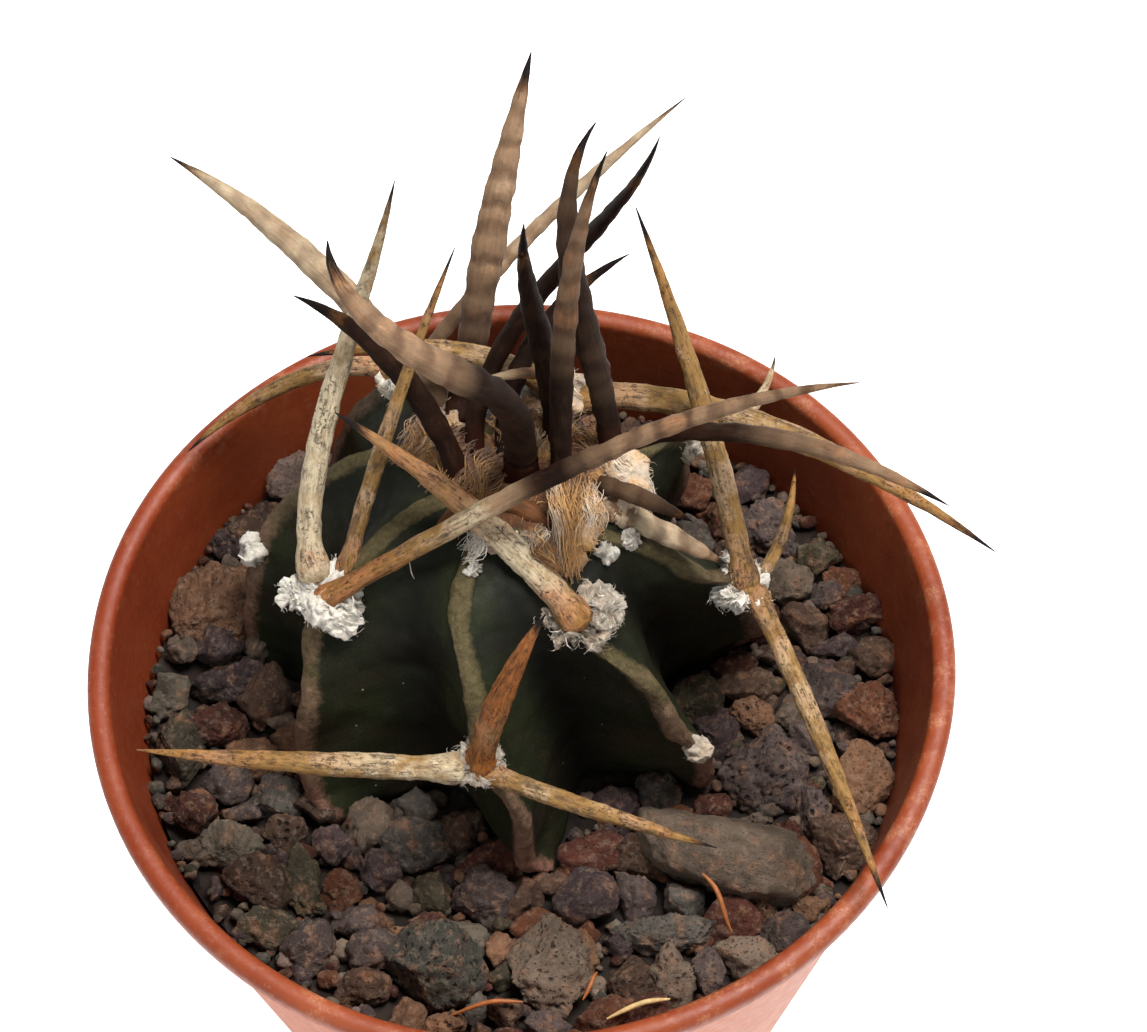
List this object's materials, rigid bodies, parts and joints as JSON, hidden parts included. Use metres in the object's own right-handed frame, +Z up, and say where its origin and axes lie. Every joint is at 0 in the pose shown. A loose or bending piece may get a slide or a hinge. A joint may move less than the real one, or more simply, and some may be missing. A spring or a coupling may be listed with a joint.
{
  "type": "potted cactus",
  "caption": "Small ribbed globe cactus with long curved horn-like spines and woolly areoles, in a round tapered plastic pot topped with lava gravel.",
  "frame": {"origin": "centre of the underside of the pot's floor, on the surface it stands on", "axes": "+Z up along the pot's axis; -Y towards the front, where the picture's camera looks from"},
  "size_m": [0.0574, 0.0603, 0.0822],
  "materials": {
    "pot": "matte",
    "soil": "matte",
    "gravel": "matte",
    "skin": "matte",
    "young_spines": "satin",
    "old_spines": "matte",
    "wool": "matte"
  },
  "bodies": {
    "root": {"pot": "pot", "soil": "soil", "gravel": "gravel", "cactus_body": "skin", "crown": "young_spines", "spines_front_left": "old_spines", "spines_front": "old_spines", "spines_front_right": "old_spines", "spines_right": "old_spines", "spines_back_right": "old_spines", "spines_back_left": "old_spines", "wool_left": "wool", "wool_low_right": "wool"}
  },
  "joints": []
}
